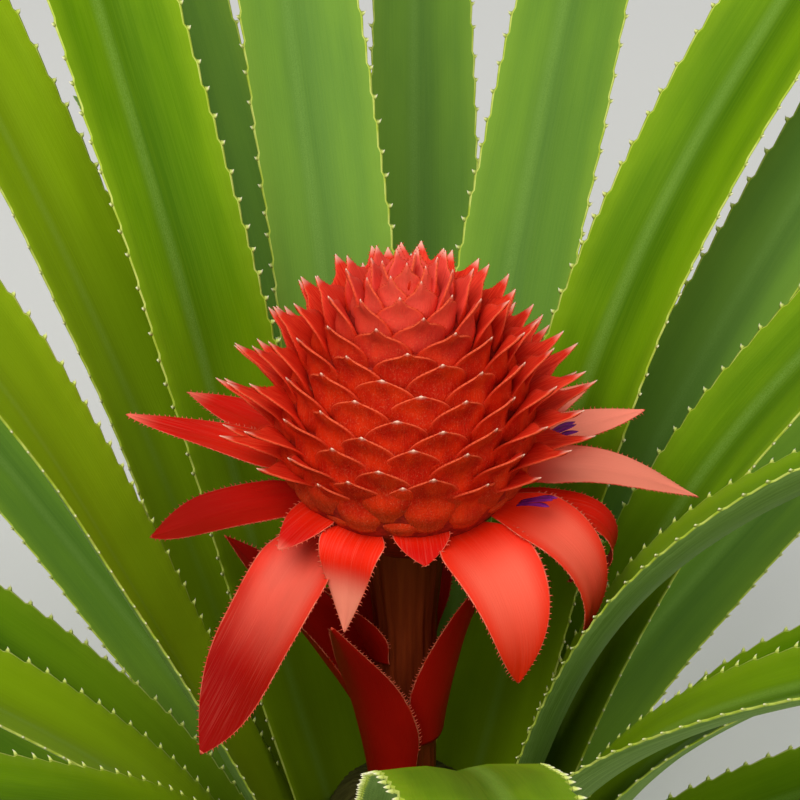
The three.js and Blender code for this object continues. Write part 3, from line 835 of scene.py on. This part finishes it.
def sepal_piece():
    """Fleshy flower parts that close the gaps behind the lower scales."""
    rng = np.random.default_rng(SEED + 7)
    shell = Shell()
    cell = 0
    for order, (height, radius) in enumerate(scale_places()):
        down = order / (SCALE_COUNT - 1)
        if not 0.35 < down < 0.85:
            continue
        for turn in (-11, 11):
            azimuth = order * GOLDEN_ANGLE + turn + rng.uniform(-2, 2)
            blade = blade_of(
                start=seat(azimuth, radius - 3, height - 2),
                azimuth=azimuth + turn / 2,
                length=lerp(8, 11, smoothstep(down, 0.3, 1)) * rng.uniform(0.9, 1.1),
                rise=lambda u: lerp(84, 62, u),
                half_width=lambda u: 3 * taper(u, 0.35, 1.6),
                curve=lambda u: 1 / 6 + 0 * u,
                carried=down,
            )
            atlas, _ = cell_map(cell, SEPAL_CELLS)
            cell += 1
            add_small_blade(shell, blade, 8, 0.45, cell * 1.3, atlas)
    piece = shell.piece("sepals", [SEPAL])
    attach(piece, "root")


def petal_piece():
    """Small violet flowers of three rolled petals."""
    shell = Shell()
    for number, (azimuth, height) in enumerate(FLOWERS):
        for petal in range(3):
            turn = (petal - 1) * 7
            last = 20 if petal == 1 else 12
            blade = blade_of(
                start=seat(azimuth + turn / 4, float(core_radius(height)) + 4, height),
                azimuth=azimuth + turn,
                length=PETAL_LENGTH,
                rise=lambda u, last=last: lerp(30, last, u),
                half_width=lambda u: 1.2 * lerp(0.6, 1, smoothstep(u, 0.3, 0.7)) * taper(u, 0.7, 2),
                curve=lambda u: 1 / 2.6 + 0 * u,
            )
            atlas, _ = cell_map(number * 3 + petal, PETAL_CELLS)
            add_small_blade(shell, blade, 14, 0.3, number + petal * 0.3, atlas)
    piece = shell.piece("petals", [PETAL])
    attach(piece, "root")


# Stalk and stem


def turned_piece(name, radius, heights, sides, material):
    shell = Shell()
    atlas, _ = cell_map(0, 1)
    add_turned(shell, radius, heights, sides, 0, atlas)
    return shell.piece(name, [material])


def stalk_piece():
    """The flower stalk, ribbed along its length."""
    low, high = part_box("flower_stalk")
    heights = np.linspace(low.z / MM, high.z / MM, 90)

    def radius(z, a):
        to_top = heights[-1] - z
        cone = lerp(STALK_TOP_RADIUS, STALK_RADIUS, np.clip(to_top / STALK_CONE_HEIGHT, 0, 1))
        ribs = 0.25 * np.sin(a * 17) + 0.18 * np.sin(a * 29 + z / 9)
        return cone - 0.4 + ribs

    piece = turned_piece("stalk_skin", radius, heights, 96, STALK)
    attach(piece, "root")
    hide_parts("flower_stalk")


def stem_piece():
    """The stem, ringed with the scars of fallen leaves and their fibres."""
    heights = np.linspace(0, STEM_HEIGHT, 180)

    def radius(z, a):
        ring = z + 1.2 * np.sin(3 * a + z / 7)
        scar = 0.9 * np.abs(np.sin(np.pi * ring / 8.5)) ** 4
        fibres = 0.25 * np.sin(61 * a + 3 * np.sin(z / 5)) + 0.15 * np.sin(113 * a + z / 3)
        return stem_radius(z) - 1.1 + scar + fibres

    piece = turned_piece("stem_skin", radius, heights, 160, STEM)
    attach(piece, "root")
    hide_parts("stem")


# Materials


def linear(code):
    """A colour such as "5f9a2a" as linear values."""
    values = [int(code[i : i + 2], 16) / 255 for i in (0, 2, 4)]
    return tuple(v / 12.92 if v < 0.04045 else ((v + 0.055) / 1.055) ** 2.4 for v in values) + (1,)


# What a point's place names: where it lies on its blade, and a value that the blade carries
ACROSS, ALONG, CARRIED = 0, 1, 2

# Where a noise goes from its low half to its high half
NOISE_BAND = (0.35, 0.65)

# Depth of fine lines in a surface, in metres
LINE_DEPTH = 0.0002

# Where the painted glow of a bract, painted light shining through it, is strongest, between where it
# starts and where it ends
PAINTED_GLOW_PEAK = 0.36


class Finish:
    """A Principled material whose colour is laid on layer by layer."""

    def __init__(self, name, colour, roughness, specular):
        self.material = bpy.data.materials.new(name)
        self.material.use_nodes = True
        self.nodes = self.material.node_tree.nodes
        self.links = self.material.node_tree.links
        self.shader = self.nodes["Principled BSDF"]
        self.put(self.shader.inputs["Roughness"], roughness)
        self.put(self.shader.inputs["Specular IOR Level"], specular)
        self.base = colour

    def put(self, socket, value):
        """Links an output to a socket, or sets a constant or a colour code on it."""
        if isinstance(value, bpy.types.NodeSocket):
            self.links.new(value, socket)
        else:
            socket.default_value = linear(value) if isinstance(value, str) else value

    def node(self, kind, *values, **settings):
        """A new node with these settings, and with its first inputs linked or set in order."""
        made = self.nodes.new("ShaderNode" + kind)
        for key, setting in settings.items():
            setattr(made, key, setting)
        for socket, value in zip(made.inputs, values):
            self.put(socket, value)
        return made

    def noise(self, across, along, detail, roughness=0.55):
        """Noise with its own scale across and along a blade, and different on each blade."""
        grain = self.node("Attribute", attribute_name="grain").outputs["Vector"]
        scaled = self.node("VectorMath", grain, (across, along, 1), operation="MULTIPLY")
        made = self.node("TexNoise", scaled.outputs[0])
        self.put(made.inputs["Scale"], 1)
        self.put(made.inputs["Detail"], detail)
        self.put(made.inputs["Roughness"], roughness)
        return made.outputs["Fac"]

    def place(self, axis):
        place = self.node("Attribute", attribute_name="place").outputs["Vector"]
        return self.node("SeparateXYZ", place).outputs[axis]

    def spread(self, value, low, high, to_low=0, to_high=1, kind="SMOOTHSTEP"):
        """The value taken from one range to another, and kept inside it."""
        ends = (low, high, to_low, to_high)
        made = self.node("MapRange", value, *ends, interpolation_type=kind, clamp=True)
        return made.outputs["Result"]

    def math(self, operation, a, b=0):
        return self.node("Math", a, b, operation=operation).outputs[0]

    def lay(self, colour, amount, *ends):
        """Mixes a colour over those before it, by an amount that may be spread between ends."""
        made = self.node("Mix", self.spread(amount, *ends) if ends else amount, data_type="RGBA")
        self.put(made.inputs[6], self.base)
        self.put(made.inputs[7], colour)
        self.base = made.outputs[2]

    def done(self, height=None, depth=LINE_DEPTH, strength=0.5):
        """The material with its colour and, where a height is given, its relief."""
        self.put(self.shader.inputs["Base Color"], self.base)
        if height is not None:
            relief = self.node("Bump")
            self.put(relief.inputs["Strength"], strength)
            self.put(relief.inputs["Distance"], depth)
            self.put(relief.inputs["Height"], height)
            self.put(self.shader.inputs["Normal"], relief.outputs[0])
        return self.material


def leaf_top_finish():
    """The upper side of a leaf, with painted shade in its channel and a yellower foot. It carries its
    painted light tint.
    """
    f = Finish("leaf_top", "557c02", roughness=0.5, specular=0.05)
    lines = f.noise(1.9, 0.02, detail=4)
    fine = f.noise(6, 0.05, detail=2)
    speckle = f.noise(3, 3, detail=4, roughness=0.7)
    across, along, bloom = f.place(ACROSS), f.place(ALONG), f.place(CARRIED)
    off_middle = f.math("ABSOLUTE", across)
    streak = f.spread(f.math("ABSOLUTE", f.math("SUBTRACT", across, 0.17)), 0, 0.16, 0.7, 0)
    f.lay("6b9104", f.noise(0.05, 0.012, detail=3), *NOISE_BAND)
    # Painted shade: darker down the middle of the leaf, in its channel
    f.lay("3c6202", off_middle, 0, 0.5, 0.75, 0)
    f.lay("8cab18", off_middle, 0.65, 0.98, 0, 0.45)
    f.lay("8aa008", along, 0.1, 0.32, 0.5, 0)
    f.lay("82a31c", lines, *NOISE_BAND, 0, 0.12)
    f.lay("3d5f04", fine, 0.4, 0.7, 0, 0.1)
    # A pale speckled streak beside the channel: the leaf's waxy bloom, with a painted reflection on it
    f.lay("7fa242", f.math("MULTIPLY", streak, f.spread(speckle, *NOISE_BAND, 0.2, 0.8)))
    # Painted sheen: greyer where the painted light tint is above 0
    f.lay("769c50", f.math("MULTIPLY", bloom, f.spread(speckle, 0.3, 0.7, 0.75, 1)))
    # Painted light through the leaf: yellower where the painted light tint is below 0
    f.lay("a0b614", bloom, -1, 0, 1, 0, "LINEAR")
    return f.done(f.math("ADD", lines, f.math("MULTIPLY", fine, 0.4)), 0.00018, 0.4)


def leaf_under_finish():
    f = Finish("leaf_under", "6a8838", roughness=0.6, specular=0.15)
    lines = f.noise(2.6, 0.03, detail=4)
    f.lay("87a254", lines, *NOISE_BAND)
    f.lay("aebd8e", f.noise(4, 4, detail=4, roughness=0.7), 0.5, 0.75, 0, 0.25)
    return f.done(lines)


def leaf_margin_finish():
    f = Finish("leaf_margin", "a9bd32", roughness=0.5, specular=0.2)
    f.lay("c6d061", f.noise(0.3, 0.15, detail=2), *NOISE_BAND)
    return f.done()


def leaf_spine_finish():
    f = Finish("leaf_spine", "c9d368", roughness=0.5, specular=0.2)
    f.lay("f2e8c8", f.place(ALONG), 0.15, 0.9)
    return f.done()


def scale_skin_finish():
    """The outer face of a scale: red, browner at its foot, with white hairs and lines.

    It carries how far down the head it sits, and it is paler near the apex.
    """
    f = Finish("scale_skin", "bc1904", roughness=0.65, specular=0.06)
    lines = f.noise(1.9, 0.14, detail=4)
    speckle = f.noise(2.8, 1.7, detail=3, roughness=0.8)
    along, down = f.place(ALONG), f.place(CARRIED)
    foot = f.math("MULTIPLY", f.spread(along, 0.1, 0.34, 1, 0), f.spread(down, 0.3, 0.9, 0.1, 0.35))
    f.lay("d82c06", f.noise(0.16, 0.12, detail=2), *NOISE_BAND)
    f.lay("9c441c", foot)
    f.lay("ff6450", down, 0, 0.3, 0.75, 0)
    f.lay("e05a30", lines, 0.5, 0.75, 0, 0.2)
    f.lay("ea7850", speckle, 0.54, 0.7, 0, 0.5)
    f.lay("ea5228", f.math("ABSOLUTE", f.place(ACROSS)), 0.8, 0.98, 0, 0.25)
    f.lay("f4bca0", along, 0.92, 1, 0, 0.8)
    return f.done(f.math("ADD", lines, f.math("MULTIPLY", speckle, 0.7)), 0.0006, 0.8)


def scale_inner_finish():
    f = Finish("scale_inner", "d81e0c", roughness=0.55, specular=0.07)
    lines = f.noise(3, 0.15, detail=3)
    f.lay("ec3e22", lines, *NOISE_BAND)
    f.lay("f2685a", f.place(CARRIED), 0, 0.3, 0.6, 0)
    f.lay("f7cdb4", f.place(ALONG), 0.84, 1, 0, 0.8)
    return f.done(lines)


def scale_rim_finish():
    f = Finish("scale_rim", "cc2a10", roughness=0.55, specular=0.07)
    along = f.place(ALONG)
    f.lay("e85c38", along, 0.45, 0.9)
    f.lay("f8d4bc", along, 0.94, 1)
    return f.done()


def plain_finish(name, dark, light, across, along, roughness=0.6, depth=LINE_DEPTH):
    """Two colours dealt out by a noise with its own scale across and along the piece."""
    f = Finish(name, dark, roughness=roughness, specular=0.15)
    lines = f.noise(across, along, detail=4)
    f.lay(light, lines, *NOISE_BAND)
    return f.done(lines, depth, 0.6)


def bract_finish(name, deep, bright, pale, painted_glow=0, painted_glow_from=0.1, painted_glow_to=0.68):
    """A red blade with fine lengthwise lines, pale from the share that it carries.

    painted_glow is how strongly the middle of the blade turns pale as well, between two shares: painted
    light shining through it.
    """
    f = Finish(name, deep, roughness=0.5, specular=0.07)
    lines = f.noise(2.6, 0.05, detail=4)
    along = f.place(ALONG)
    off_middle = f.spread(f.math("ABSOLUTE", f.place(ACROSS)), 0.45, 1, 1, 0.15)
    painted_glow_peak = lerp(painted_glow_from, painted_glow_to, PAINTED_GLOW_PEAK)
    risen = f.spread(along, painted_glow_from, painted_glow_peak, 0, painted_glow)
    painted_glowing = f.math("MULTIPLY", risen, f.spread(along, painted_glow_peak, painted_glow_to, 1, 0))
    f.lay(bright, along, 0.25, 0.75, 1, 0)
    f.lay(deep, f.noise(0.12, 0.05, detail=2), *NOISE_BAND, 0, 0.3)
    # Painted glow: light shining through the middle of the blade, painted pale
    f.lay(pale, f.math("MULTIPLY", painted_glowing, off_middle))
    f.lay(pale, f.math("SUBTRACT", along, f.place(CARRIED)), -0.1, 0.22, 0, 0.9)
    f.lay(pale, lines, 0.45, 0.75, 0, 0.11)
    return f.done(lines)


LEAF_LOOKS = [leaf_top_finish(), leaf_under_finish(), leaf_margin_finish(), leaf_spine_finish()]
HEAD_LOOKS = [
    scale_skin_finish(),
    scale_inner_finish(),
    scale_rim_finish(),
    # The core shows only in the gaps between the scales: partly its own dark red, partly darkened as
    # painted shade there
    plain_finish("head_core", "7a120a", "a02010", 0.5, 0.5),
]
SEPAL = plain_finish("sepal", "a83018", "c4553a", 2.5, 0.2)
PETAL = plain_finish("petal", "560f5c", "84207e", 1.5, 0.2, roughness=0.5)
BRACT_TOOTH = plain_finish("bract_tooth", "d8361c", "ee7c60", 0.5, 0.3)
# Painted shade: darker teeth for the bracts that lie in shade
PAINTED_SHADE_TOOTH = plain_finish("painted_shade_tooth", "9c2414", "c4583e", 0.5, 0.3)
LONG_LOOKS = [
    bract_finish("bract_top", "c80e04", "f02408", "ff9076"),
    bract_finish("bract_under", "b01208", "d4281a", "fa9c8a"),
    BRACT_TOOTH,
]
# Painted light shining through a bract
PAINTED_GLOW_LOOKS = [bract_finish("bract_painted_glow", "960502", "ee2408", "f9806a", 0.5), *LONG_LOOKS[1:]]
# Painted light: a brighter copy of the bract finish for bracts that light falls on
PAINTED_LIT_LOOKS = [
    bract_finish("bract_painted_lit", "f02a0a", "ee2408", "fd7a60", 0.55, 0.15, 0.95),
    *LONG_LOOKS[1:],
]
# Painted shade: a darker copy of the bract finish for bracts in shade
PAINTED_SHADE_LOOKS = [
    bract_finish("stalk_bract_top", "980a04", "b81208", "c84028"),
    bract_finish("stalk_bract_under", "860c06", "a61a0e", "b84a30"),
    PAINTED_SHADE_TOOTH,
]
# The stalk bracts' usual finish, made brighter than the shaded copy: painted light against the shade
# round the stalk
SIDE_LOOKS = [
    bract_finish("side_bract_top", "ac0c04", "c41406", "d0280c"),
    bract_finish("side_bract_under", "a00c06", "b81408", "c42816"),
    BRACT_TOOTH,
]
STALK = plain_finish("stalk", "84300f", "903812", 0.7, 0.04, depth=0.0001)
STEM = plain_finish("stem", "33300f", "545024", 0.7, 0.06, roughness=0.75, depth=0.0006)

# The bracts that look different from the others of their kind, by number: painted light for those that
# light shines through and those it falls on, painted shade for those in shade
LONG_BRACT_LOOKS = {2: PAINTED_GLOW_LOOKS, 3: PAINTED_LIT_LOOKS, 4: PAINTED_LIT_LOOKS, 13: PAINTED_SHADE_LOOKS}
STALK_BRACT_LOOKS = {3: PAINTED_SHADE_LOOKS, 4: PAINTED_SHADE_LOOKS}


# The plant

for order in range(LEAF_COUNT):
    leaf_piece(order)
head_piece()
sepal_piece()
petal_piece()
for number, bract in enumerate(LONG_BRACTS, 1):
    node = "long_bract_%02d" % number
    blade = long_bract_blade(bract, number)
    looks = LONG_BRACT_LOOKS.get(number, LONG_LOOKS)
    bract_piece("ruff_%02d" % number, node, blade, looks, number)
for number, bract in enumerate(STALK_BRACTS, 1):
    node = "stalk_bract_%02d" % number
    blade = stalk_bract_blade(bract)
    looks = STALK_BRACT_LOOKS.get(number, SIDE_LOOKS)
    bract_piece("collar_%02d" % number, node, blade, looks, 50 + number)
stalk_piece()
stem_piece()

# Floor, light and camera

FLOOR_SIDE = 40.0
CAMERA_ELEVATION = 33.0
CAMERA_DISTANCE = 0.750
CAMERA_TARGET = (-0.0015, 0.0, 0.3556)
PHOTO_PIXELS = 800
PHOTO_SCALE = 0.29 * MM


def floor():
    mesh = bpy.data.meshes.new("floor")
    half = FLOOR_SIDE / 2
    corners = [(-half, -half, 0), (half, -half, 0), (half, half, 0), (-half, half, 0)]
    mesh.from_pydata(corners, [], [(0, 1, 2, 3)])
    made = placed("floor", mesh)
    mesh.materials.append(Finish("floor", "e4e2dc", roughness=0.9, specular=0.1).done())


def area_light(name, place, target, size, power):
    data = bpy.data.lights.new(name, "AREA")
    data.shape = "DISK"
    data.size = size
    data.energy = power
    made = placed(name, data)
    made.location = place
    aim = np.array(target) - np.array(place)
    made.rotation_euler = Vector(aim).to_track_quat("-Z", "Y").to_euler()


def camera():
    data = bpy.data.cameras.new("camera")
    data.sensor_fit = "HORIZONTAL"
    data.angle = 2 * math.atan(PHOTO_PIXELS / 2 * PHOTO_SCALE / CAMERA_DISTANCE)
    data.clip_start = 0.01
    made = placed("camera", data)
    rise = math.radians(CAMERA_ELEVATION)
    back = np.array([0, -math.cos(rise), math.sin(rise)])
    made.location = np.array(CAMERA_TARGET) + back * CAMERA_DISTANCE
    made.rotation_euler = Vector(-back).to_track_quat("-Z", "Y").to_euler()
    bpy.context.scene.camera = made


def world():
    made = bpy.data.worlds.new("studio")
    made.use_nodes = True
    background = made.node_tree.nodes["Background"]
    background.inputs["Color"].default_value = (0.95, 0.98, 1.0, 1)
    background.inputs["Strength"].default_value = 0.55
    bpy.context.scene.world = made


floor()
world()
area_light("key", (-0.6, -1.0, 2.1), (0, 0, 0.3), 1.6, 34)
area_light("fill", (1.3, -1.5, 1.1), (0, 0, 0.35), 1.6, 12)
camera()
bpy.context.scene.view_settings.view_transform = "Standard"
